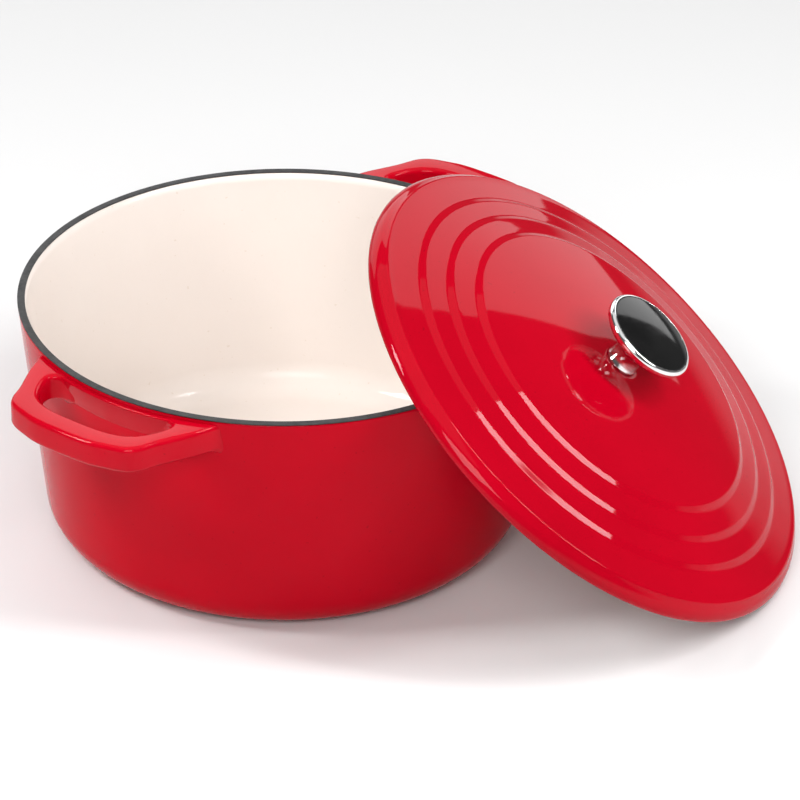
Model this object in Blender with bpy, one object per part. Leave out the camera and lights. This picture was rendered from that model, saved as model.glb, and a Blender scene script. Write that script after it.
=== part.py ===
"""Enamelled cast iron dutch oven with its lid leaning against the rim.

Metres, +Z up. The origin is the centre of the pot's base and the two loop
handles lie along X. The lid is modelled about its own axis, with the plane it
seats on at zero, and is then carried to where it leans.
"""

import math

import bmesh
import bpy
from mathutils import Matrix, Vector

# fits and coats
GAP = 0.0003
COAT = 0.0005
BAND_THICKNESS = 0.0004
STEPS = 56
SMALL_STEPS = 32
CRISP_ANGLE = math.radians(22)

# pot
POT_HEIGHT = 0.1159
POT_RADIUS = 0.122
POT_BASE_RADIUS = 0.1096
POT_CORNER = 0.019
CAVITY_TOP_RADIUS = 0.1185
CAVITY_BASE_RADIUS = 0.1058
CAVITY_CORNER = 0.015
CAVITY_FLOOR = 0.0052
RIM_EASE = 0.0005
FOOT_EASE = 0.0006

# loop handles, in plan: reach from the axis and half width at each knuckle
HANDLE_OUTLINE = (
    (0.1085, 0.0535),
    (0.1215, 0.0480),
    (0.1370, 0.0408),
    (0.1462, 0.0372),
    (0.1512, 0.0325),
    (0.1545, 0.0235),
    (0.1568, 0.0120),
)
HANDLE_OPENING = (
    (0.1085, 0.0382),
    (0.1215, 0.0368),
    (0.1330, 0.0318),
    (0.1398, 0.0268),
    (0.1428, 0.0205),
    (0.1445, 0.0105),
)
HANDLE_DEPTH = 0.0125
HANDLE_DROP = 0.0024
HANDLE_EDGE = 0.0030
HANDLE_ROUNDING = 2

# lid, heights above the plane it seats on
LID_RADIUS = 0.1254
LID_WIDEST = 0.0027
LID_SEAT_OUTER = 0.1225
LID_SEAT_INNER = 0.1182
LID_SHOULDER = (0.1205, 0.0104)
RING_RADII = (0.1037, 0.0907, 0.0775)
RING_FOOTS = (0.0128, 0.0166, 0.0210)
RING_RISE = 0.0018
RING_HALF_RUN = 0.0011
CROWN_HEIGHT = 0.0284
CROWN_FLAT = 0.0100
LID_WALL = 0.0040
LIP_OUTER = 0.1172
LIP_INNER = 0.1138
LIP_DEPTH = 0.0034
LIP_EASE = 0.0008
HOLLOW_RADIUS = 0.1118
BOLT_HOLE = 0.0035
LINING_HOLE = 0.0100

# knob, heights above the boss it stands on
KNOB_RADIUS = 0.0228
KNOB_STEM = 0.0060
KNOB_FOOT = 0.0080
KNOB_BORE = 0.0031
KNOB_BORE_DEPTH = 0.0130
KNOB_EDGE_LOW = 0.0172
KNOB_EDGE_TOP = 0.0212
DISC_RADIUS = 0.0208
DISC_SEAT = 0.0186
DISC_CROWN = 0.0014

# bolt and washers under the lid
BOLT_RADIUS = 0.0027
BOLT_HEAD_RADIUS = 0.0056
BOLT_HEAD_DEPTH = 0.0034
BOLT_GRIP = 0.0100
DRIVE_WIDTH = 0.0011
DRIVE_SPAN = 0.0062
DRIVE_DEPTH = 0.0018
WASHER_BORE = 0.0033
WASHER_RADIUS = 0.0080
WASHER_THICKNESS = 0.0012
LOCK_RADIUS = 0.0055
LOCK_THICKNESS = 0.0014
LOCK_SPLIT = math.radians(12)

# where the lid leans and how far it swings
LEAN_HEADING = math.radians(-65.8)
LEAN_TILT = math.radians(39.6)
LEAN_REACH = 0.1393
LEAN_RISE = 0.0788
RAISED_LIFT = 0.0550


def clear_scene():
    """Start from nothing."""
    for item in list(bpy.data.objects):
        bpy.data.objects.remove(item)


def finish(name, colour, metallic, roughness):
    """A material with the piece's own base colour."""
    mat = bpy.data.materials.new(name)
    mat.use_nodes = True
    shader = mat.node_tree.nodes["Principled BSDF"]
    shader.inputs["Base Color"].default_value = (*colour, 1.0)
    shader.inputs["Metallic"].default_value = metallic
    shader.inputs["Roughness"].default_value = roughness
    return mat


def place(name, mesh, mat, parent=None):
    """Put a mesh in the scene as one piece."""
    mesh.materials.append(mat)
    piece = bpy.data.objects.new(name, mesh)
    bpy.context.collection.objects.link(piece)
    piece.parent = parent
    return piece


def smooth(bm, name):
    """Turn a finished bmesh into a smooth shaded mesh with crisp corners."""
    bmesh.ops.recalc_face_normals(bm, faces=bm.faces)
    for face in bm.faces:
        face.smooth = True
    for edge in bm.edges:
        if len(edge.link_faces) == 2:
            edge.smooth = edge.calc_face_angle() < CRISP_ANGLE
    mesh = bpy.data.meshes.new(name)
    bm.to_mesh(mesh)
    bm.free()
    return mesh


def lathe(name, profile, steps=STEPS, closed=False):
    """Turn a profile of (radius, height) about Z.

    An open profile starts and ends on the axis. A closed one makes a ring.
    """
    bm = bmesh.new()
    verts = [bm.verts.new((r, 0.0, z)) for r, z in profile]
    pairs = list(zip(verts, verts[1:]))
    if closed:
        pairs.append((verts[-1], verts[0]))
    edges = [bm.edges.new(pair) for pair in pairs]
    bmesh.ops.spin(
        bm,
        geom=verts + edges,
        cent=(0, 0, 0),
        axis=(0, 0, 1),
        angle=math.tau,
        steps=steps,
        use_merge=True,
    )
    bmesh.ops.remove_doubles(bm, verts=bm.verts, dist=1e-6)
    return smooth(bm, name)


def arc(centre, radius, start, end, count):
    """Points on an arc between two angles in degrees, both ends included."""
    cr, cz = centre
    points = []
    for i in range(count + 1):
        turn = math.radians(start + (end - start) * i / count)
        points.append((cr + radius * math.cos(turn), cz + radius * math.sin(turn)))
    return points


def bowl(top, base_radius, top_radius, corner, floor, grow, corner_steps):
    """The section of a tapered bowl from its top edge to the axis.

    The wall is a straight draft and meets the floor in a round corner. Growing
    it moves every face outward by the same distance.
    """
    draft = math.atan2(top_radius - base_radius, POT_HEIGHT)
    wall_at_floor = base_radius + math.tan(draft) * floor
    centre_z = floor + corner
    centre_r = wall_at_floor + math.tan(draft) * corner - corner / math.cos(draft)
    radius = corner + grow
    points = arc((centre_r, centre_z), radius, -math.degrees(draft), -90, corner_steps)
    first_r, first_z = points[0]
    rim_r = first_r + math.tan(draft) * (top - first_z)
    return [(rim_r, top)] + points + [(0.0, floor - grow)]


def eased_rim(section, ease):
    """Take the sharp corner off the outer top edge of a bowl section."""
    rim_r, rim_z = section[0]
    return [(0.0, rim_z), (rim_r - ease, rim_z), (rim_r, rim_z - ease)] + section[1:]


def cavity(top, grow):
    """Inside of the pot, grown outward for the coat and the iron behind it."""
    return bowl(top, CAVITY_BASE_RADIUS, CAVITY_TOP_RADIUS, CAVITY_CORNER, CAVITY_FLOOR, grow, 5)


def mirrored(points):
    """A half outline and its mirror image, as one run from side to side."""
    return [(x, y) for x, y in points] + [(x, -y) for x, y in reversed(points)]


def handle_mesh(name):
    """One loop handle: a bowed bar with two splayed arms, edges rounded."""
    outline = mirrored(HANDLE_OUTLINE) + list(reversed(mirrored(HANDLE_OPENING)))
    top = POT_HEIGHT - HANDLE_DROP
    bm = bmesh.new()
    lower = [bm.verts.new((x, y, top - HANDLE_DEPTH)) for x, y in outline]
    upper = [bm.verts.new((x, y, top)) for x, y in outline]
    count = len(outline)
    bm.faces.new(lower)
    bm.faces.new(list(reversed(upper)))
    for i in range(count):
        j = (i + 1) % count
        bm.faces.new((lower[j], lower[i], upper[i], upper[j]))
    bmesh.ops.recalc_face_normals(bm, faces=bm.faces)
    rims = [e for e in bm.edges if is_rim(e)]
    bmesh.ops.bevel(
        bm,
        geom=rims,
        offset=HANDLE_EDGE,
        offset_type="OFFSET",
        segments=HANDLE_ROUNDING,
        profile=0.5,
        affect="EDGES",
        clamp_overlap=True,
    )
    return smooth(bm, name)


def is_rim(edge):
    """Whether an edge runs along the top or underside outline of the bar."""
    a, b = (v.co for v in edge.verts)
    level = abs(a.z - b.z) < 1e-6
    buried = max(a.x, b.x) < HANDLE_OUTLINE[0][0] + 1e-4
    return level and not buried


def cutter(name, mesh, parent=None):
    """A shape that only cuts or joins, and isn't a piece of its own."""
    tool = bpy.data.objects.new(name, mesh)
    bpy.context.collection.objects.link(tool)
    tool.hide_render = True
    tool.display_type = "WIRE"
    tool.parent = parent
    return tool


def combine(piece, tool, operation):
    """Add an exact boolean to a piece."""
    step = piece.modifiers.new(tool.name, "BOOLEAN")
    step.operation = operation
    step.solver = "EXACT"
    step.object = tool


def pot_casting(mat):
    """The pot and its two handles, one casting with the red coat on it."""
    top = POT_HEIGHT - BAND_THICKNESS - GAP
    section = bowl(top, POT_BASE_RADIUS, POT_RADIUS, POT_CORNER, 0.0, 0.0, 6)
    piece = place("pot_casting", lathe("pot_casting", eased_rim(section, RIM_EASE)), mat)
    for label, turn in (("right", 0.0), ("left", math.pi)):
        tool = cutter("handle_" + label, handle_mesh("handle_" + label))
        tool.rotation_euler = (0, 0, turn)
        combine(piece, tool, "UNION")
    section = cavity(top + COAT, COAT + GAP)
    inside = lathe("cavity", [(0.0, top + COAT)] + section)
    combine(piece, cutter("cavity", inside), "DIFFERENCE")
    return piece


def pot_lining(mat):
    """The cream coat inside the pot, a thin bowl just off the iron."""
    top = POT_HEIGHT - BAND_THICKNESS - GAP
    inner = cavity(top, 0.0)
    outer = cavity(top, COAT)
    profile = list(reversed(inner)) + outer
    return place("pot_lining", lathe("pot_lining", profile), mat)


def pot_rim_band(mat):
    """The bare matt band on the pot's rim, where the lid sits."""
    top = POT_HEIGHT
    low = top - BAND_THICKNESS
    inner = CAVITY_TOP_RADIUS
    outer = POT_RADIUS
    ease = BAND_THICKNESS / 2
    profile = [
        (inner + ease, top),
        (outer - ease, top),
        (outer, low + ease),
        (outer, low),
        (inner, low),
        (inner, low + ease),
    ]
    return place("pot_rim_band", lathe("pot_rim_band", profile, closed=True), mat)


def crown(count):
    """Height of the smooth dome inside the last ring, from ring to boss."""
    edge_r = RING_RADII[-1] - RING_HALF_RUN
    edge_z = RING_FOOTS[-1] + RING_RISE
    points = []
    for i in range(1, count):
        share = i / count
        r = edge_r + (CROWN_FLAT - edge_r) * share
        fall = (r - CROWN_FLAT) / (edge_r - CROWN_FLAT)
        points.append((r, CROWN_HEIGHT - (CROWN_HEIGHT - edge_z) * fall**1.8))
    return points + [(CROWN_FLAT, CROWN_HEIGHT)]


def lid_top():
    """Upper side of the lid from its widest edge to the boss."""
    shoulder_r, shoulder_z = LID_SHOULDER
    points = [
        (LID_RADIUS, LID_WIDEST),
        (LID_RADIUS - 0.0004, LID_WIDEST + 0.0022),
        (LID_RADIUS - 0.0018, LID_WIDEST + 0.0042),
        (shoulder_r + 0.0012, shoulder_z - 0.0016),
        (shoulder_r, shoulder_z - 0.0004),
        (shoulder_r - 0.0020, shoulder_z),
    ]
    for radius, foot in zip(RING_RADII, RING_FOOTS):
        points.append((radius + RING_HALF_RUN, foot))
        points.append((radius - RING_HALF_RUN, foot + RING_RISE))
    return points + crown(6)


def hollow(drop):
    """Underside of the dome from the lip inward, lowered by a drop."""
    wall = LID_WALL + drop
    edge = HOLLOW_RADIUS - drop
    points = [(edge, LID_SHOULDER[1] + 0.0014 - wall)]
    for radius, foot in zip(RING_RADII, RING_FOOTS):
        points.append((radius - 0.001, foot + RING_RISE / 2 - wall))
    for r, z in crown(4):
        points.append((r, z - wall))
    return points


def lid_casting(mat, seat):
    """The lid: a stepped dome with a rolled edge and a locating lip."""
    profile = [(BOLT_HOLE, CROWN_HEIGHT)] + list(reversed(lid_top()))
    profile += [
        (LID_RADIUS - 0.0008, LID_WIDEST - 0.0015),
        (LID_SEAT_OUTER, BAND_THICKNESS + GAP),
        (LIP_OUTER + 0.0006, BAND_THICKNESS + GAP),
        (LIP_OUTER, BAND_THICKNESS + GAP - LIP_EASE),
        (LIP_OUTER, LIP_EASE - LIP_DEPTH),
        (LIP_OUTER - LIP_EASE, -LIP_DEPTH),
        (LIP_INNER + LIP_EASE, -LIP_DEPTH),
        (LIP_INNER, LIP_EASE - LIP_DEPTH),
    ]
    profile += hollow(0.0)
    profile += [(BOLT_HOLE, CROWN_HEIGHT - LID_WALL)]
    return place("lid_casting", lathe("lid_casting", profile, closed=True), mat, seat)


def lid_lining(mat, seat):
    """The cream coat under the lid, with a hole round the washers."""
    upper = hollow(GAP)
    lower = hollow(GAP + COAT)
    upper[-1] = (LINING_HOLE, upper[-1][1])
    lower[-1] = (LINING_HOLE, lower[-1][1])
    profile = list(reversed(upper)) + lower
    return place("lid_lining", lathe("lid_lining", profile, closed=True), mat, seat)


def lid_seat_band(mat, seat):
    """The bare matt ring under the lid's flange, where it sits on the pot."""
    profile = [
        (LID_SEAT_INNER, BAND_THICKNESS),
        (LID_SEAT_OUTER - 0.0003, BAND_THICKNESS),
        (LID_SEAT_OUTER - 0.0006, 0.0),
        (LID_SEAT_INNER, 0.0),
    ]
    return place("lid_seat_band", lathe("lid_seat_band", profile, closed=True), mat, seat)


def knob_body(mat, seat):
    """The bright metal knob: a waisted stem opening into a shallow cup."""
    base = CROWN_HEIGHT + GAP
    bore_end = base + KNOB_BORE_DEPTH
    disc_floor = base + DISC_SEAT
    profile = [
        (0.0, disc_floor),
        (DISC_RADIUS + GAP, disc_floor),
        (DISC_RADIUS + GAP, base + KNOB_EDGE_TOP),
        (DISC_RADIUS + 0.0012, base + KNOB_EDGE_TOP),
        (KNOB_RADIUS - 0.0002, base + KNOB_EDGE_TOP - 0.0010),
        (KNOB_RADIUS, base + KNOB_EDGE_LOW + 0.0014),
        (KNOB_RADIUS - 0.0010, base + KNOB_EDGE_LOW),
        (0.0185, base + 0.0152),
        (0.0130, base + 0.0128),
        (0.0092, base + 0.0104),
        (0.0070, base + 0.0078),
        (KNOB_STEM, base + 0.0050),
        (KNOB_STEM + 0.0004, base + 0.0026),
        (KNOB_FOOT - 0.0003, base + 0.0008),
        (KNOB_FOOT, base),
        (KNOB_BORE, base),
        (KNOB_BORE, bore_end),
        (0.0, bore_end),
    ]
    return place("knob_body", lathe("knob_body", profile, 40), mat, seat)


def knob_disc(mat, seat):
    """The black insert that fills the top of the knob."""
    low = CROWN_HEIGHT + GAP + DISC_SEAT + GAP
    edge = CROWN_HEIGHT + GAP + KNOB_EDGE_TOP
    profile = [
        (0.0, edge + DISC_CROWN),
        (DISC_RADIUS * 0.45, edge + DISC_CROWN * 0.80),
        (DISC_RADIUS * 0.80, edge + DISC_CROWN * 0.36),
        (DISC_RADIUS - 0.0005, edge),
        (DISC_RADIUS, edge - 0.0005),
        (DISC_RADIUS, low),
        (0.0, low),
    ]
    return place("knob_disc", lathe("knob_disc", profile, 40), mat, seat)


def washer(mat, seat):
    """The flat washer under the lid."""
    top = CROWN_HEIGHT - LID_WALL - GAP
    low = top - WASHER_THICKNESS
    profile = [(WASHER_BORE, top), (WASHER_RADIUS, top), (WASHER_RADIUS, low), (WASHER_BORE, low)]
    return place("knob_washer", lathe("knob_washer", profile, SMALL_STEPS, True), mat, seat)


def lock_washer(mat, seat):
    """The split spring washer between the bolt head and the flat washer."""
    top = CROWN_HEIGHT - LID_WALL - GAP - WASHER_THICKNESS - GAP
    low = top - LOCK_THICKNESS
    corners = ((WASHER_BORE, low), (LOCK_RADIUS, low), (LOCK_RADIUS, top), (WASHER_BORE, top))
    bm = bmesh.new()
    face = bm.faces.new([bm.verts.new((r, 0.0, z)) for r, z in corners])
    bmesh.ops.spin(
        bm,
        geom=list(bm.verts) + list(bm.edges) + [face],
        cent=(0, 0, 0),
        axis=(0, 0, 1),
        angle=math.tau - LOCK_SPLIT,
        steps=SMALL_STEPS,
    )
    bmesh.ops.remove_doubles(bm, verts=bm.verts, dist=1e-6)
    return place("knob_lock_washer", smooth(bm, "knob_lock_washer"), mat, seat)


def bolt(mat, seat):
    """The bolt that comes up through the lid into the knob's stem."""
    head_top = CROWN_HEIGHT - LID_WALL - WASHER_THICKNESS - LOCK_THICKNESS - 3 * GAP
    head_low = head_top - BOLT_HEAD_DEPTH
    tip = CROWN_HEIGHT + BOLT_GRIP
    profile = [
        (0.0, tip),
        (BOLT_RADIUS - 0.0006, tip),
        (BOLT_RADIUS, tip - 0.0006),
        (BOLT_RADIUS, head_top),
        (BOLT_HEAD_RADIUS, head_top),
        (BOLT_HEAD_RADIUS, head_low + 0.0012),
        (BOLT_HEAD_RADIUS * 0.72, head_low + 0.0003),
        (BOLT_HEAD_RADIUS * 0.50, head_low),
        (0.0, head_low),
    ]
    piece = place("knob_bolt", lathe("knob_bolt", profile, SMALL_STEPS), mat, seat)
    combine(piece, cutter("drive", drive_mesh(head_low), seat), "DIFFERENCE")
    return piece


def drive_mesh(head_low):
    """The cross recess in the bolt's head, as a twelve sided plus."""
    half = DRIVE_WIDTH / 2
    span = DRIVE_SPAN / 2
    quarter = [(span, -half), (span, half), (half, half)]
    outline = []
    for turn in range(4):
        spin = Matrix.Rotation(turn * math.pi / 2, 2)
        outline += [spin @ Vector(point) for point in quarter]
    bm = bmesh.new()
    lower = [bm.verts.new((p.x, p.y, head_low - DRIVE_DEPTH)) for p in outline]
    upper = [bm.verts.new((p.x, p.y, head_low + DRIVE_DEPTH)) for p in outline]
    bm.faces.new(list(reversed(lower)))
    bm.faces.new(upper)
    for i in range(len(outline)):
        j = (i + 1) % len(outline)
        bm.faces.new((lower[i], lower[j], upper[j], upper[i]))
    return smooth(bm, "drive")


def swing_pole():
    """The one point that stays put as the lid goes from leaning to level.

    Worked out in the upright plane the lid leans in, as reach and height.
    """
    turn = Matrix.Rotation(LEAN_TILT, 2)
    start = Vector((LEAN_REACH, LEAN_RISE))
    end = Vector((0.0, POT_HEIGHT + RAISED_LIFT))
    return (Matrix.Identity(2) - turn).inverted() @ (end - turn @ start)


def lid_carrier():
    """Empties for the lid: one on the swing axis and one on its seat plane."""
    lean = Matrix.Rotation(LEAN_HEADING, 4, "Z")
    pole = swing_pole()
    hinge = bpy.data.objects.new("lid_swing", None)
    bpy.context.collection.objects.link(hinge)
    hinge.matrix_world = lean @ Matrix.Translation((pole.x, 0.0, pole.y))
    seat = bpy.data.objects.new("lid_seat", None)
    bpy.context.collection.objects.link(seat)
    seat.parent = hinge
    tilt = Matrix.Rotation(LEAN_TILT, 4, "Y")
    seat.matrix_local = Matrix.Translation((LEAN_REACH - pole.x, 0.0, LEAN_RISE - pole.y)) @ tilt
    return seat


def build():
    """Make every piece of the dutch oven."""
    clear_scene()
    red = finish("red_enamel", (0.62, 0.012, 0.020), 0.0, 0.18)
    cream = finish("cream_enamel", (0.86, 0.80, 0.70), 0.0, 0.20)
    matt = finish("matt_black_band", (0.030, 0.030, 0.032), 0.0, 0.65)
    lid_red = finish("lid_red_enamel", (0.60, 0.010, 0.018), 0.0, 0.18)
    lid_cream = finish("lid_cream_enamel", (0.84, 0.78, 0.68), 0.0, 0.22)
    lid_matt = finish("lid_matt_band", (0.034, 0.034, 0.036), 0.0, 0.65)
    chrome = finish("knob_chrome", (0.80, 0.80, 0.82), 1.0, 0.08)
    black = finish("knob_black", (0.012, 0.012, 0.013), 0.0, 0.12)
    steel = finish("bolt_steel", (0.55, 0.55, 0.56), 1.0, 0.30)
    zinc = finish("washer_zinc", (0.62, 0.62, 0.60), 1.0, 0.35)
    spring = finish("spring_steel", (0.30, 0.30, 0.31), 1.0, 0.40)
    pot_casting(red)
    pot_lining(cream)
    pot_rim_band(matt)
    seat = lid_carrier()
    lid_casting(lid_red, seat)
    lid_lining(lid_cream, seat)
    lid_seat_band(lid_matt, seat)
    knob_body(chrome, seat)
    knob_disc(black, seat)
    washer(zinc, seat)
    lock_washer(spring, seat)
    bolt(steel, seat)


build()
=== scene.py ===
"""Looks for the enamelled cast iron dutch oven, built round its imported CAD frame.

Metres, +Z up, in the CAD's own frame: the pot stands on the origin and its two
handles lie along X. The lid is made about its own axis and then leant over.
"""

import math

import bmesh
import bpy
import numpy as np
from mathutils import Matrix, Vector


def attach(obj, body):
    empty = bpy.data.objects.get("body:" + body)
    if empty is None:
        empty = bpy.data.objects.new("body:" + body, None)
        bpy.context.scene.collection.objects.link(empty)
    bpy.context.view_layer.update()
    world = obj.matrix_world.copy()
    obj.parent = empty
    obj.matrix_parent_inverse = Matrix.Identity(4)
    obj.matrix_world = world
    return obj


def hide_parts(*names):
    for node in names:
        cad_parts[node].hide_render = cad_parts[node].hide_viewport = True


TINY = 1e-7

# coats and fits, as in the CAD
BAND = 0.0004
GAP = 0.0003
COAT = 0.0005

# pot, as in the CAD
POT_HEIGHT = 0.1159
POT_RADIUS = 0.1220
POT_BASE_RADIUS = 0.1096
POT_CORNER = 0.019
CAVITY_TOP_RADIUS = 0.1185
CAVITY_BASE_RADIUS = 0.1058
CAVITY_CORNER = 0.015
CAVITY_FLOOR = 0.0052
POT_TOP = POT_HEIGHT - BAND - GAP

# what the CAD leaves square on the pot: the rim's edge and the foot's groove
RIM_EASE = 0.0009
RIM_INSET = 0.0004
RIM_REACH = 0.004
BAND_EASE = 0.00022
FOOT_OUTER = 0.0905
FOOT_INNER = 0.0800
FOOT_GROOVE = 0.0790
FOOT_DEPTH = 0.0008
FOOT_EASE = 0.0004

# handles: knuckles of the bar's outer and inner edge in plan, one half of each
HANDLE_OUTER = (
    (0.0980, 0.0615),
    (0.1085, 0.0528),
    (0.1215, 0.0480),
    (0.1370, 0.0408),
    (0.1462, 0.0372),
    (0.1512, 0.0325),
    (0.1545, 0.0235),
    (0.1568, 0.0120),
)
HANDLE_INNER = (
    (0.1075, 0.0265),
    (0.1175, 0.0315),
    (0.1238, 0.0350),
    (0.1318, 0.0326),
    (0.1374, 0.0290),
    (0.1404, 0.0256),
    (0.1428, 0.0205),
    (0.1445, 0.0105),
)
HANDLE_TOP = POT_HEIGHT - 0.0024
HANDLE_DEPTH = 0.0125
HANDLE_EDGE = 0.0024
HANDLE_EDGE_SHARE = 0.8
HANDLE_FILLET = 0.0062
FLARE_SIDE = 1.1
FLARE_UNDER = 0.4
ROOT_BURY = 0.0016
KNUCKLE_STEPS = 9
HANDLE_EDGE_STEPS = 8

# the low rib along the wall between a handle's arms
LEDGE_HALF_SPAN = math.radians(19.0)
LEDGE_OUT = 0.0021
LEDGE_DROP = 0.0004
LEDGE_EDGE = 0.0010
LEDGE_FADE = 0.85
LEDGE_STEPS = 24
LEDGE_EDGE_STEPS = 5

# lid, about its own axis with its seat plane at zero
LID_RADIUS = 0.1254
LID_WIDEST = 0.0027
SEAT_OUTER = 0.1225
SEAT_INNER = 0.1182
SHOULDER_RADIUS = 0.1205
SHOULDER_HEIGHT = 0.0104
RINGS = ((0.1037, 0.0128), (0.0907, 0.0166), (0.0775, 0.0210))
RING_RISE = 0.0018
RING_HALF_RUN = 0.0015
RING_FOOT_EASE = 0.0008
RING_TOP_EASE = 0.0006
CROWN_HEIGHT = 0.0284
CROWN_FLAT = 0.0100
CROWN_POWER = 1.8
LID_WALL = 0.0040
LIP_OUTER = 0.1172
LIP_INNER = 0.1138
LIP_DEPTH = 0.0034
HOLLOW_RADIUS = 0.1118
HOLLOW_RISE = 0.0014
UNDER_RING_INSET = 0.001
BOLT_HOLE = 0.0035
LINING_HOLE = 0.0100
SEAT_EASE = 0.0001

# where the lid leans
LEAN_HEADING = math.radians(-65.8)
LEAN_TILT = math.radians(39.6)
LEAN_REACH = 0.1393
LEAN_RISE = 0.0788

# knob, above the boss
KNOB_BASE = CROWN_HEIGHT + GAP
DISC_RADIUS = 0.0208
DISC_SEAT = 0.0186
DISC_EASE = 0.0003
DISC_FLAT_SHARE = 0.985
DISC_CROWN = 0.0014
DISC_POWER = 2.4
DISC_STEPS = 24
KNOB_TOP = 0.0212

# how finely each turned piece is cut
POT_STEPS = 224
LINING_STEPS = 208
BAND_STEPS = 224
LID_STEPS = 256
LID_LINING_STEPS = 192
KNOB_STEPS = 144

# enamels: bright and deep body colour, speck colour, coat index, coat blur
ENAMELS = {
    "red_body": ((0.50, 0.0009, 0.0120), (0.43, 0.0006, 0.0095), (0.24, 0.001, 0.006), 1.17, 0.11),
    "red_handles": ((0.47, 0.0009, 0.0115), (0.42, 0.0006, 0.009), (0.22, 0.001, 0.006), 1.24, 0.04),
    "lid_red_gloss": ((0.43, 0.0006, 0.0110), (0.36, 0.0004, 0.0085), (0.20, 0.001, 0.006), 1.24, 0.04),
    "cream_gloss": ((0.80, 0.735, 0.69), (0.77, 0.70, 0.65), (0.66, 0.57, 0.48), 1.24, 0.04),
}

# metals: low and high colour, low and high roughness, scale of the marks
METALS = {
    "bright_chrome": ((0.78,) * 3, (0.86,) * 3, 0.05, 0.13, 40.0),
    "plain_steel": ((0.45,) * 3, (0.58,) * 3, 0.25, 0.42, 120.0),
    "zinc_plate": ((0.55, 0.55, 0.52), (0.70, 0.69, 0.66), 0.28, 0.45, 150.0),
    "spring_steel": ((0.16,) * 3, (0.28,) * 3, 0.30, 0.50, 150.0),
}

# camera: heading, height and roll, distance and aim, lens and sensor in millimetres
VIEW_TURN = math.radians(-51.0)
VIEW_ELEVATION = math.radians(29.875)
VIEW_ROLL = math.radians(0.409)
VIEW_DISTANCE = 2.44
VIEW_TARGET = (0.0532, 0.0, 0.0582)
LENS = 237.24
SENSOR = 36.0
FAR_CLIP = 20.0

# lights: name, heading from the camera's side and height in degrees, distance, size, radiance
LIGHTS = (
    ("back_right", 144.5, 25.0, 2.45, (0.75, 1.43), 1.9),
    ("back_left", 198.0, 31.0, 2.12, (1.61, 1.19), 2.0),
    ("right_box", 72.0, 42.0, 1.3, (0.15, 0.92), 27.0),
    ("left_box", -76.0, 48.0, 1.3, (0.22, 0.42), 34.0),
    ("front_box", -5.0, 38.0, 1.5, (0.7, 0.5), 9.5),
    ("overhead", 90.0, 86.0, 1.4, (1.8, 1.6), 0.8),
)
LIGHT_AIM = (0.02, -0.02, 0.08)

# room: brightness round the horizon and above it, between two heights of view
SKY_LOW, SKY_HIGH = 0.02, 0.07
SKY_PALE, SKY_DARK = 0.72, 0.10

# floor: half its width, its two greys, and how far out its own glow starts and ends
FLOOR_HALF = 6
FLOOR_GREYS = (0.69, 0.71)
GLOW_NEAR, GLOW_FAR = 0.7, 2.5
GLOW_DIM, GLOW_FULL = 0.02, 0.62


# --- meshes -----------------------------------------------------------------


def solid(name, verts, faces):
    """A mesh from corners and faces, with every face turned outwards."""
    mesh = bpy.data.meshes.new(name)
    mesh.from_pydata([tuple(map(float, v)) for v in verts], [], faces)
    work = bmesh.new()
    work.from_mesh(mesh)
    bmesh.ops.recalc_face_normals(work, faces=work.faces)
    work.to_mesh(mesh)
    work.free()
    return mesh


def link(name, mesh):
    """Put a mesh in the scene, shaded smooth."""
    piece = bpy.data.objects.new(name, mesh)
    bpy.context.scene.collection.objects.link(piece)
    mesh.polygons.foreach_set("use_smooth", np.ones(len(mesh.polygons), bool))
    mesh.update()
    return piece


def rounded(points, cuts, count):
    """Round the inner corners of a run of points, each by its own cut or all by one."""
    pts = [np.array(p, float) for p in points]
    out = [pts[0]]
    for i in range(1, len(pts) - 1):
        cut = cuts[i] if hasattr(cuts, "__len__") else cuts
        before, here, after = pts[i - 1], pts[i], pts[i + 1]
        a = min(cut, 0.48 * np.linalg.norm(before - here))
        b = min(cut, 0.48 * np.linalg.norm(after - here))
        if min(a, b) < TINY:
            out.append(here)
            continue
        start = here + (before - here) / np.linalg.norm(before - here) * a
        end = here + (after - here) / np.linalg.norm(after - here) * b
        for k in range(count + 1):
            t = k / count
            out.append((1 - t) ** 2 * start + 2 * t * (1 - t) * here + t * t * end)
    out.append(pts[-1])
    return out


def spread(points, step):
    """Add points along the straight runs, so that none is longer than a step."""
    out = [points[0]]
    for a, b in zip(points, points[1:]):
        parts = max(1, int(math.ceil(np.linalg.norm(np.array(b) - np.array(a)) / step)))
        for k in range(1, parts + 1):
            out.append(np.array(a) + (np.array(b) - np.array(a)) * k / parts)
    return out


def lathe(name, profile, steps, closed=False):
    """Turn a profile of (radius, height) about Z into quads, poles as fans."""
    pts = [(max(0.0, float(r)), float(z)) for r, z in profile]
    turn = np.linspace(0, math.tau, steps, endpoint=False)
    cos, sin = np.cos(turn), np.sin(turn)
    verts, rows = [], []
    for r, z in pts:
        if r < TINY:
            rows.append([len(verts)] * steps)
            verts.append((0.0, 0.0, z))
        else:
            rows.append(list(range(len(verts), len(verts) + steps)))
            verts.extend(zip(r * cos, r * sin, np.full(steps, z)))
    pairs = list(zip(rows, rows[1:]))
    if closed:
        pairs.append((rows[-1], rows[0]))
    faces = []
    for upper, lower in pairs:
        for k in range(steps):
            j = (k + 1) % steps
            loop = []
            for v in (upper[k], lower[k], lower[j], upper[j]):
                if v not in loop:
                    loop.append(v)
            if len(loop) > 2:
                faces.append(loop)
    return link(name, solid(name, verts, faces))


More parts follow.
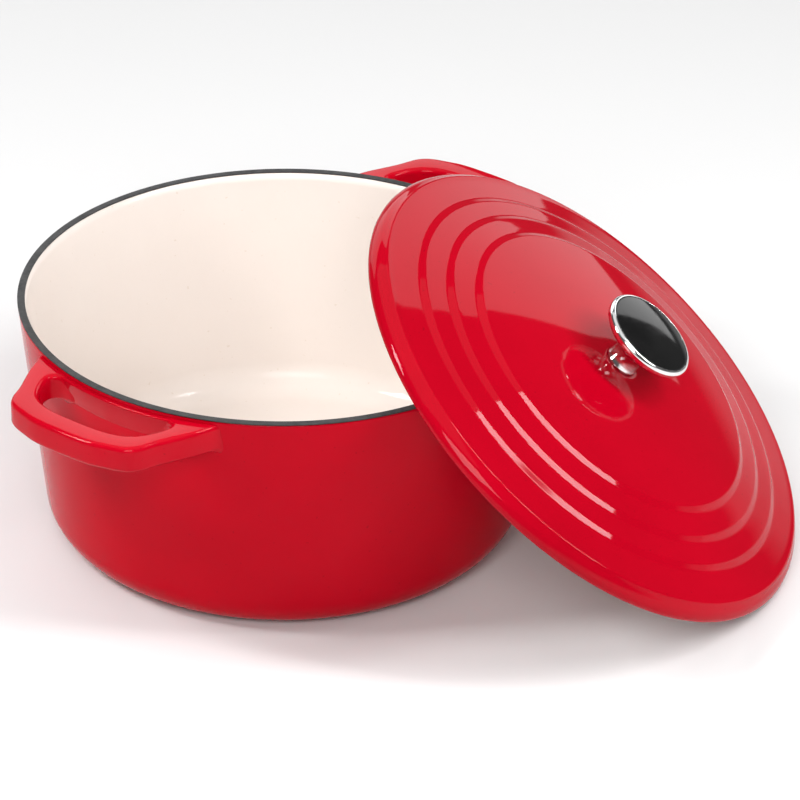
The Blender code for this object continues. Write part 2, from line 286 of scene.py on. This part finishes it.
def swept(name, rings, turn):
    """A capped bar through rings of points, turned about Z."""
    around = len(rings[0])
    verts = [point for ring in rings for point in ring]
    faces = []
    for i in range(len(rings) - 1):
        for k in range(around):
            j = (k + 1) % around
            faces.append((i * around + k, i * around + j, (i + 1) * around + j, (i + 1) * around + k))
    last = (len(rings) - 1) * around
    faces.append(tuple(reversed(range(around))))
    faces.append(tuple(range(last, last + around)))
    mesh = solid(name, verts, faces)
    mesh.transform(Matrix.Rotation(turn, 4, "Z"))
    return link(name, mesh)


def catmull(points, per):
    """A smooth run through points, with the same number of steps on each span."""
    pts = [np.array(p, float) for p in points]
    pts = [2 * pts[0] - pts[1]] + pts + [2 * pts[-1] - pts[-2]]
    out = []
    for i in range(1, len(pts) - 2):
        p0, p1, p2, p3 = pts[i - 1 : i + 3]
        linear = p2 - p0
        square = 2 * p0 - 5 * p1 + 4 * p2 - p3
        cube = 3 * p1 - p0 - 3 * p2 + p3
        for k in range(per):
            t = k / per
            out.append(0.5 * (2 * p1 + linear * t + square * t * t + cube * t**3))
    out.append(pts[-2])
    return out


def bar_section(half_w, half_d, edge, count):
    """A soft rectangle as offsets with their outward turn: across, up, cos, sin."""
    out = []
    for quarter in range(4):
        sx = 1 if quarter in (0, 3) else -1
        sy = 1 if quarter in (0, 1) else -1
        for k in range(count + 1):
            turn = (quarter + k / count) * math.pi / 2
            c, s = math.cos(turn), math.sin(turn)
            out.append((sx * (half_w - edge) + c * edge, sy * (half_d - edge) + s * edge, c, s))
    return out


# --- pot --------------------------------------------------------------------


def bowl(base_radius, top_radius, corner, floor, grow, count):
    """Section of a tapered bowl from its top edge to the axis, as in the CAD."""
    draft = math.atan2(top_radius - base_radius, POT_HEIGHT)
    wall_at_floor = base_radius + math.tan(draft) * floor
    centre_z = floor + corner
    centre_r = wall_at_floor + math.tan(draft) * corner - corner / math.cos(draft)
    radius = corner + grow
    points = []
    for k in range(count + 1):
        turn = -draft + (draft - math.pi / 2) * k / count
        points.append((centre_r + radius * math.cos(turn), centre_z + radius * math.sin(turn)))
    first_r, first_z = points[0]
    top = (first_r + math.tan(draft) * (POT_TOP - first_z), POT_TOP)
    return [top] + points + [(0.0, floor - grow)]


def cavity(grow, count):
    """Section of the pot's inside, grown outwards by a coat."""
    return bowl(CAVITY_BASE_RADIUS, CAVITY_TOP_RADIUS, CAVITY_CORNER, CAVITY_FLOOR, grow, count)


def pot_body():
    """Outer skin of the pot, its foot and the iron behind the lining."""
    outer = bowl(POT_BASE_RADIUS, POT_RADIUS, POT_CORNER, 0.0, 0.0, 24)
    inner = cavity(COAT + GAP, 12)
    rim_r = outer[0][0]
    rim = [(inner[0][0], POT_TOP), (rim_r, POT_TOP), (rim_r - RIM_INSET, POT_TOP - RIM_REACH)]
    rim = rounded(rim, RIM_EASE, 6)
    foot = [(FOOT_OUTER, 0.0), (FOOT_INNER, 0.0), (FOOT_GROOVE, FOOT_DEPTH), (0.0, FOOT_DEPTH)]
    wall = spread([rim[-1], outer[1]], 0.004)
    skin = rim[1:-1] + wall[:-1] + outer[1:-1] + spread(rounded(foot, FOOT_EASE, 4), 0.006)
    return lathe("pot_body", list(reversed(inner)) + skin, POT_STEPS)


def pot_inside():
    """The glazed inside of the pot."""
    section = spread(list(reversed(cavity(0.0, 24))), 0.004) + cavity(COAT, 12)
    return lathe("pot_inside", section, LINING_STEPS)


def rim_band():
    """The bare band round the top of the rim, a little proud and soft edged."""
    low = POT_HEIGHT - BAND
    points = [
        (CAVITY_TOP_RADIUS, low),
        (CAVITY_TOP_RADIUS, POT_HEIGHT),
        (POT_RADIUS, POT_HEIGHT),
        (POT_RADIUS, low),
    ]
    return lathe("rim_band", rounded(points, BAND_EASE, 4), BAND_STEPS, closed=True)


def wall_radius(z):
    """Outer radius of the pot's wall at a height."""
    return POT_BASE_RADIUS + (POT_RADIUS - POT_BASE_RADIUS) * z / POT_HEIGHT


def both_halves(half):
    """A run of knuckles and its mirror across X."""
    return list(half) + [(x, -y) for x, y in reversed(half)]


def arm_flare(gap):
    """How much a handle's arm swells at a distance from the wall."""
    if gap >= HANDLE_FILLET:
        return 0.0
    near = HANDLE_FILLET - max(gap, 0.0)
    return HANDLE_FILLET - math.sqrt(HANDLE_FILLET**2 - near**2)


def handle(name, turn):
    """A loop handle: a bowed bar, flared where its arms run into the wall."""
    outer = catmull(both_halves(HANDLE_OUTER), KNUCKLE_STEPS)
    inner = catmull(both_halves(HANDLE_INNER), KNUCKLE_STEPS)
    half_d = HANDLE_DEPTH / 2
    rings = []
    for o, i in zip(outer, inner):
        centre = (o + i) / 2
        across = (o - i) / 2
        half_w = np.linalg.norm(across)
        side = across / half_w
        edge = min(HANDLE_EDGE, half_w * HANDLE_EDGE_SHARE)
        ring = []
        for u, v, c, s in bar_section(half_w, half_d, edge, HANDLE_EDGE_STEPS):
            xy = centre + side * u
            z = HANDLE_TOP - half_d + v
            flare = arm_flare(math.hypot(xy[0], xy[1]) - wall_radius(z))
            xy = xy + side * min(c, 0.0) * flare * FLARE_SIDE
            z += min(s, 0.0) * flare * FLARE_UNDER
            reach = math.hypot(xy[0], xy[1])
            buried = wall_radius(z) - ROOT_BURY
            if reach < buried:
                xy = xy * (buried / reach)
            ring.append((xy[0], xy[1], z))
        rings.append(ring)
    return swept(name, rings, turn)


def ledge(name, turn):
    """The low rib that joins a handle's two arms along the wall, under the rim."""
    top_radius = wall_radius(HANDLE_TOP)
    mid = top_radius + LEDGE_OUT / 2 - ROOT_BURY / 2
    half_w = (LEDGE_OUT + ROOT_BURY) / 2
    rings = []
    for k in range(LEDGE_STEPS + 1):
        angle = -LEDGE_HALF_SPAN + 2 * LEDGE_HALF_SPAN * k / LEDGE_STEPS
        ring = []
        for u, v, _, _ in bar_section(half_w, HANDLE_DEPTH / 2, LEDGE_EDGE, LEDGE_EDGE_STEPS):
            z = HANDLE_TOP - LEDGE_DROP - HANDLE_DEPTH / 2 + v
            fade = LEDGE_FADE * LEDGE_OUT * (HANDLE_TOP - z) / HANDLE_DEPTH
            r = mid + u - (top_radius - wall_radius(z)) - (fade if u > 0 else 0.0)
            ring.append((r * math.cos(angle), r * math.sin(angle), z))
        rings.append(ring)
    return swept(name, rings, turn)


# --- lid --------------------------------------------------------------------


def lid_matrix():
    """Where the lid's own axes are at rest."""
    lean = Matrix.Rotation(LEAN_HEADING, 4, "Z")
    tilt = Matrix.Rotation(LEAN_TILT, 4, "Y")
    return lean @ Matrix.Translation((LEAN_REACH, 0.0, LEAN_RISE)) @ tilt


def crown(count):
    """The smooth dome from the innermost ring to the boss."""
    ring_r, ring_z = RINGS[-1]
    edge_r = ring_r - RING_HALF_RUN
    edge_z = ring_z + RING_RISE
    points = []
    for i in range(1, count):
        r = edge_r + (CROWN_FLAT - edge_r) * i / count
        fall = (r - CROWN_FLAT) / (edge_r - CROWN_FLAT)
        points.append((r, CROWN_HEIGHT - (CROWN_HEIGHT - edge_z) * fall**CROWN_POWER))
    return points + [(CROWN_FLAT, CROWN_HEIGHT)]


def under_rings(wall):
    """The underside of each ring, from the outermost in."""
    return [(radius - UNDER_RING_INSET, foot + RING_RISE / 2 - wall) for radius, foot in RINGS]


def lid_edge():
    """The lip, seat, rolled edge and shoulder: each corner with its cut."""
    return [
        ((LIP_INNER, 0.0012 - LIP_DEPTH), 0.0005),
        ((LIP_INNER + 0.0004, -LIP_DEPTH), 0.0005),
        ((LIP_OUTER - 0.0004, -LIP_DEPTH), 0.0005),
        ((LIP_OUTER, BAND + GAP), 0.0004),
        ((SEAT_OUTER, BAND + GAP), 0.0004),
        ((LID_RADIUS - 0.0004, LID_WIDEST - 0.0016), 0.0014),
        ((LID_RADIUS, LID_WIDEST + 0.0012), 0.0016),
        ((LID_RADIUS - 0.0016, LID_WIDEST + 0.0042), 0.0012),
        ((SHOULDER_RADIUS + 0.0014, SHOULDER_HEIGHT - 0.0018), 0.0010),
        ((SHOULDER_RADIUS, SHOULDER_HEIGHT - 0.0002), 0.0008),
        ((SHOULDER_RADIUS - 0.0028, SHOULDER_HEIGHT + 0.0001), 0.0015),
    ]


def lid_shell():
    """The lid's casting: rolled edge, shoulder, stepped rings, dome and lip."""
    corners = lid_edge()
    for radius, foot in RINGS:
        corners.append(((radius + RING_HALF_RUN, foot), RING_FOOT_EASE))
        corners.append(((radius - RING_HALF_RUN, foot + RING_RISE), RING_TOP_EASE))
    dome = crown(40)
    corners.append((dome[0], 0.0))
    points, cuts = zip(*corners)
    upper = spread(rounded(points, cuts, 7), 0.003) + dome[1:] + [(BOLT_HOLE, CROWN_HEIGHT)]
    under = [(BOLT_HOLE, CROWN_HEIGHT - LID_WALL)]
    under += [(r, z - LID_WALL) for r, z in reversed(crown(10))]
    under += reversed(under_rings(LID_WALL))
    under.append((HOLLOW_RADIUS, SHOULDER_HEIGHT + HOLLOW_RISE - LID_WALL))
    return lathe("lid_shell", upper + rounded(under, 0.0015, 3), LID_STEPS, closed=True)


def lid_hollow(drop):
    """Section of the lid's underside, a drop below the iron."""
    wall = LID_WALL + drop
    points = [(HOLLOW_RADIUS - drop, SHOULDER_HEIGHT + HOLLOW_RISE - wall)]
    points += under_rings(wall)
    points += [(r, z - wall) for r, z in crown(14)]
    points[-1] = (LINING_HOLE, points[-1][1])
    return rounded(points, 0.003, 4)


def lid_inside():
    """The glazed underside of the lid."""
    section = list(reversed(lid_hollow(GAP))) + lid_hollow(GAP + COAT)
    return lathe("lid_inside", section, LID_LINING_STEPS, closed=True)


def lid_seat():
    """The matt ring the lid sits on."""
    points = [
        (SEAT_INNER, 0.0),
        (SEAT_INNER, BAND),
        (SEAT_OUTER - 0.0003, BAND),
        (SEAT_OUTER - 0.0006, 0.0),
    ]
    return lathe("lid_seat", rounded(points, SEAT_EASE, 3), BAND_STEPS, closed=True)


def knob_metal():
    """The polished knob: a waisted stem flaring into a thin edged cup."""
    corners = [
        ((0.0, 0.0005), 0.0),
        ((0.0074, 0.0004), 0.0002),
        ((0.0080, 0.0), 0.0002),
        ((0.0080, 0.0006), 0.0003),
        ((0.0075, 0.0024), 0.0020),
        ((0.0071, 0.0055), 0.0020),
        ((0.0076, 0.0082), 0.0020),
        ((0.0098, 0.0106), 0.0020),
        ((0.0134, 0.0126), 0.0020),
        ((0.0182, 0.0145), 0.0020),
        ((0.0212, 0.0160), 0.0010),
        ((0.0227, 0.0176), 0.0008),
        ((0.0228, 0.0198), 0.0006),
        ((0.0220, 0.0210), 0.0006),
        ((DISC_RADIUS + GAP, KNOB_TOP), 0.0002),
        ((DISC_RADIUS + GAP, DISC_SEAT), 0.0003),
        ((0.0, DISC_SEAT), 0.0),
    ]
    points = [(r, KNOB_BASE + z) for (r, z), _ in corners]
    cuts = [cut for _, cut in corners]
    return lathe("knob_metal", rounded(points, cuts, 7), KNOB_STEPS)


def knob_insert():
    """The black insert, slightly crowned with a soft edge."""
    low = KNOB_BASE + DISC_SEAT + GAP
    edge = KNOB_BASE + KNOB_TOP
    rim = [(DISC_RADIUS, edge - 0.0006), (DISC_RADIUS - 0.0001, edge - 0.0001)]
    for k in range(DISC_STEPS):
        share = 1 - k / DISC_STEPS
        crowned = edge + DISC_CROWN * (1 - share**DISC_POWER)
        rim.append((DISC_RADIUS * DISC_FLAT_SHARE * share, crowned))
    rim.append((0.0, edge + DISC_CROWN))
    profile = [(0.0, low), (DISC_RADIUS, low)] + rounded(rim, DISC_EASE, 4)
    return lathe("knob_insert", profile, KNOB_STEPS)


# --- materials --------------------------------------------------------------


def map_range(tree, source, values):
    """A range node: from low and high to low and high."""
    node = tree.nodes.new("ShaderNodeMapRange")
    for key, value in zip(("From Min", "From Max", "To Min", "To Max"), values):
        node.inputs[key].default_value = value
    tree.links.new(source, node.inputs["Value"])
    return node.outputs["Result"]


class Paint:
    """A small helper to write node materials."""

    def __init__(self, name):
        self.mat = bpy.data.materials.new(name)
        self.mat.use_nodes = True
        self.tree = self.mat.node_tree
        self.shader = self.tree.nodes["Principled BSDF"]
        self.coords = self.tree.nodes.new("ShaderNodeTexCoord")

    def set(self, **values):
        """Set shader inputs to plain values."""
        for key, value in values.items():
            self.shader.inputs[key.replace("_", " ")].default_value = value

    def to(self, key, source):
        """Drive a shader input from a node."""
        self.tree.links.new(source, self.shader.inputs[key])

    def noise(self, scale, detail, rough=0.5, stretch=None):
        """Cloudy noise over the piece's own coordinates."""
        node = self.tree.nodes.new("ShaderNodeTexNoise")
        node.inputs["Scale"].default_value = scale
        node.inputs["Detail"].default_value = detail
        node.inputs["Roughness"].default_value = rough
        source = self.coords.outputs["Object"]
        if stretch:
            mapping = self.tree.nodes.new("ShaderNodeMapping")
            mapping.inputs["Scale"].default_value = stretch
            self.tree.links.new(source, mapping.inputs["Vector"])
            source = mapping.outputs["Vector"]
        self.tree.links.new(source, node.inputs["Vector"])
        return node.outputs["Fac"]

    def ramp(self, source, low_at, low, high_at, high):
        """Two colours with a blend between two places."""
        node = self.tree.nodes.new("ShaderNodeValToRGB")
        for element, at, colour in zip(node.color_ramp.elements, (low_at, high_at), (low, high)):
            element.position = at
            element.color = (*colour, 1.0)
        self.tree.links.new(source, node.inputs["Fac"])
        return node.outputs["Color"]

    def span(self, source, low, high, out_low, out_high):
        """A source stretched from one range to another."""
        return map_range(self.tree, source, (low, high, out_low, out_high))

    def mix(self, factor, under, over):
        """A plain colour laid over another colour by a factor."""
        node = self.tree.nodes.new("ShaderNodeMix")
        node.data_type = "RGBA"
        colour_a, colour_b, result = node.inputs[6], node.inputs[7], node.outputs[2]
        self.tree.links.new(factor, node.inputs["Factor"])
        self.tree.links.new(under, colour_a)
        colour_b.default_value = (*over, 1.0)
        return result

    def distance(self):
        """How far a place is from the piece's own origin."""
        node = self.tree.nodes.new("ShaderNodeVectorMath")
        node.operation = "LENGTH"
        self.tree.links.new(self.coords.outputs["Object"], node.inputs[0])
        return node.outputs["Value"]

    def bump(self, layers):
        """Bump from several (height, strength, distance) layers."""
        last = None
        for height, strength, distance in layers:
            node = self.tree.nodes.new("ShaderNodeBump")
            node.inputs["Strength"].default_value = strength
            node.inputs["Distance"].default_value = distance
            self.tree.links.new(height, node.inputs["Height"])
            if last is not None:
                self.tree.links.new(last, node.inputs["Normal"])
            last = node.outputs["Normal"]
        self.tree.links.new(last, self.shader.inputs["Normal"])


def enamel(name):
    """Thick glossy enamel: cloudy depth, orange peel, dust and faint pinholes."""
    bright, deep, specks, gloss, blur = ENAMELS[name]
    p = Paint(name)
    cloud = p.ramp(p.noise(9.0, 4.0, 0.55), 0.30, deep, 0.70, bright)
    dots = p.span(p.noise(520.0, 1.0, 0.4), 0.74, 0.80, 0.0, 0.5)
    p.to("Base Color", p.mix(dots, cloud, specks))
    smear = p.noise(14.0, 5.0, 0.6, stretch=(1.0, 1.0, 2.5))
    p.to("Roughness", p.span(smear, 0.35, 0.75, 0.30, 0.42))
    p.set(Metallic=0.0, IOR=1.5, Specular_IOR_Level=0.0)
    p.set(Coat_Weight=0.85, Coat_Roughness=blur, Coat_IOR=gloss)
    waves = (p.noise(26.0, 2.0, 0.4), 0.12, 0.0010)
    peel = (p.noise(110.0, 3.0, 0.5), 0.14, 0.0005)
    ripple = (p.noise(300.0, 2.0, 0.5), 0.05, 0.00025)
    grain = (p.noise(900.0, 2.0), 0.02, 0.0001)
    p.bump([waves, peel, ripple, grain])
    return p.mat


def matt_coat(name):
    """Bare ground coat: matt, finely pitted and worn a little paler."""
    p = Paint(name)
    fresh, worn = (0.016, 0.016, 0.017), (0.045, 0.045, 0.045)
    p.to("Base Color", p.ramp(p.noise(420.0, 4.0, 0.7), 0.30, fresh, 0.72, worn))
    p.to("Roughness", p.span(p.noise(90.0, 3.0), 0.3, 0.7, 0.42, 0.66))
    p.set(Metallic=0.0, IOR=1.5, Specular_IOR_Level=0.3)
    pits = (p.noise(700.0, 3.0, 0.6), 0.35, 0.0002)
    lumps = (p.noise(60.0, 2.0), 0.2, 0.0004)
    p.bump([pits, lumps])
    return p.mat


def metal(name):
    """Bare or plated metal with faint handling marks."""
    low, high, rough_low, rough_high, scale = METALS[name]
    p = Paint(name)
    p.to("Base Color", p.ramp(p.noise(scale, 3.0), 0.3, low, 0.7, high))
    p.to("Roughness", p.span(p.noise(scale * 3, 4.0, 0.6), 0.3, 0.7, rough_low, rough_high))
    p.set(Metallic=1.0)
    p.bump([(p.noise(scale * 8, 2.0), 0.05, 0.0001)])
    return p.mat


def gloss_black(name):
    """Polished black phenolic with fine scuffs."""
    p = Paint(name)
    p.to("Base Color", p.ramp(p.noise(60.0, 3.0), 0.3, (0.004,) * 3, 0.7, (0.009,) * 3))
    p.to("Roughness", p.span(p.noise(220.0, 4.0, 0.7), 0.4, 0.8, 0.06, 0.14))
    p.set(Metallic=0.0, IOR=1.5, Specular_IOR_Level=0.35)
    p.bump([(p.noise(300.0, 2.0), 0.03, 0.0002)])
    return p.mat


def pale_floor(name):
    """A faintly clouded pale floor that glows a little far from the object."""
    p = Paint(name)
    low, high = ((grey,) * 3 for grey in FLOOR_GREYS)
    speck = p.span(p.noise(6.0, 2.0), 0.3, 0.7, 0.48, 0.52)
    p.to("Base Color", p.ramp(speck, 0.4, low, 0.6, high))
    p.to("Emission Strength", p.span(p.distance(), GLOW_NEAR, GLOW_FAR, GLOW_DIM, GLOW_FULL))
    p.set(Roughness=0.85, Specular_IOR_Level=0.0, Emission_Color=(1.0, 1.0, 1.0, 1.0))
    return p.mat


def wear(piece, mat):
    """Give a piece or a kept CAD node one material on every slot."""
    if not piece.data.materials:
        piece.data.materials.append(mat)
    for place in piece.material_slots:
        place.material = mat


# --- assembly ---------------------------------------------------------------


def dress(nodes):
    """Make every piece, ride it on its body and hide the CAD part it stands in for."""
    red, handle_red = enamel("red_body"), enamel("red_handles")
    lid_red, cream = enamel("lid_red_gloss"), enamel("cream_gloss")
    band, black, chrome = matt_coat("bare_band"), gloss_black("black_phenolic"), metal("bright_chrome")

    pot_rows = [
        (pot_body(), red, "red_enamel", "pot_casting"),
        (handle("handle_right", 0.0), handle_red, "red_enamel", "pot_casting"),
        (handle("handle_left", math.pi), handle_red, "red_enamel", "pot_casting"),
        (ledge("ledge_right", 0.0), handle_red, "red_enamel", "pot_casting"),
        (ledge("ledge_left", math.pi), handle_red, "red_enamel", "pot_casting"),
        (pot_inside(), cream, "cream_enamel", "pot_lining"),
        (rim_band(), band, "matt_black_band", "pot_rim_band"),
    ]
    lid_rows = [
        (lid_shell(), lid_red, "lid_red_enamel", "lid_casting"),
        (lid_inside(), cream, "lid_cream_enamel", "lid_lining"),
        (lid_seat(), band, "lid_matt_band", "lid_seat_band"),
        (knob_metal(), chrome, "knob_chrome", "knob_body"),
        (knob_insert(), black, "knob_black", "knob_disc"),
    ]
    for body, rows in (("pot", pot_rows), ("lid", lid_rows)):
        for piece, mat, slot, node in rows:
            if body == "lid":
                piece.data.transform(lid_matrix())
            wear(piece, mat)
            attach(piece, body)
            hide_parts(node)

    wear(nodes["knob_bolt"], metal("plain_steel"))
    wear(nodes["knob_washer"], metal("zinc_plate"))
    wear(nodes["knob_lock_washer"], metal("spring_steel"))


# --- studio -----------------------------------------------------------------


def turned(x, y, z):
    """A place given in the camera's own heading, turned into the frame."""
    return Matrix.Rotation(VIEW_TURN, 4, "Z") @ Vector((x, y, z))


def softbox(name, azimuth, elevation, distance, size, radiance):
    """A rectangular studio light, placed by its heading from the camera's side."""
    data = bpy.data.lights.new(name, "AREA")
    data.shape = "RECTANGLE"
    data.size, data.size_y = size
    data.energy = radiance * math.pi * size[0] * size[1]
    lamp = bpy.data.objects.new(name, data)
    bpy.context.scene.collection.objects.link(lamp)
    a, e = math.radians(azimuth), math.radians(elevation)
    flat = math.cos(e) * distance
    lamp.location = turned(math.sin(a) * flat, -math.cos(a) * flat, math.sin(e) * distance)
    aim = Vector(LIGHT_AIM) - lamp.location
    lamp.rotation_euler = aim.to_track_quat("-Z", "Y").to_euler()


def room_light():
    """A dim room: pale round the horizon, darker overhead."""
    world = bpy.data.worlds.new("studio")
    bpy.context.scene.world = world
    world.use_nodes = True
    tree = world.node_tree
    sky = tree.nodes["Background"]
    sky.inputs["Color"].default_value = (1.0, 1.0, 1.0, 1.0)
    coords = tree.nodes.new("ShaderNodeTexCoord")
    split = tree.nodes.new("ShaderNodeSeparateXYZ")
    tree.links.new(coords.outputs["Generated"], split.inputs["Vector"])
    fade = map_range(tree, split.outputs["Z"], (SKY_LOW, SKY_HIGH, SKY_PALE, SKY_DARK))
    tree.links.new(fade, sky.inputs["Strength"])


def floor():
    """A wide level floor at the height the pot stands on."""
    half = FLOOR_HALF
    corners = [(-half, -half, 0), (half, -half, 0), (half, half, 0), (-half, half, 0)]
    mesh = bpy.data.meshes.new("floor")
    mesh.from_pydata(corners, [], [(0, 1, 2, 3)])
    piece = bpy.data.objects.new("floor", mesh)
    bpy.context.scene.collection.objects.link(piece)
    mesh.materials.append(pale_floor("pale_floor"))


def camera():
    """The camera, a long lens looking down at the pot with a slight roll."""
    lens = bpy.data.cameras.new("camera")
    lens.sensor_width = SENSOR
    lens.lens = LENS
    lens.clip_end = FAR_CLIP
    cam = bpy.data.objects.new("camera", lens)
    bpy.context.scene.collection.objects.link(cam)
    eye = Vector((0.0, -math.cos(VIEW_ELEVATION), math.sin(VIEW_ELEVATION))) * VIEW_DISTANCE
    eye += Vector((0.0, 0.0, POT_HEIGHT / 2))
    back = (eye - Vector(VIEW_TARGET)).normalized()
    right = Vector((0, 0, 1)).cross(back).normalized()
    up = back.cross(right)
    roll = Matrix.Rotation(VIEW_ROLL, 3, back)
    basis = Matrix((roll @ right, roll @ up, back)).transposed().to_4x4()
    cam.matrix_world = Matrix.Rotation(VIEW_TURN, 4, "Z") @ Matrix.Translation(eye) @ basis
    bpy.context.scene.camera = cam


def studio():
    """Pale floor, soft lights and the camera."""
    floor()
    room_light()
    for light in LIGHTS:
        softbox(*light)
    bpy.context.scene.view_settings.view_transform = "Standard"
    camera()


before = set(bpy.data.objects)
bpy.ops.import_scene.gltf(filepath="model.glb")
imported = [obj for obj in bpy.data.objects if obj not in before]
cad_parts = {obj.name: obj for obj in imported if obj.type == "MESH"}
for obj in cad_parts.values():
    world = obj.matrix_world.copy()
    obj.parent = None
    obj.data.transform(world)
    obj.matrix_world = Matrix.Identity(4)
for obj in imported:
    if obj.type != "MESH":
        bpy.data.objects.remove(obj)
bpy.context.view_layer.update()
dress(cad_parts)
studio()
bpy.context.view_layer.update()
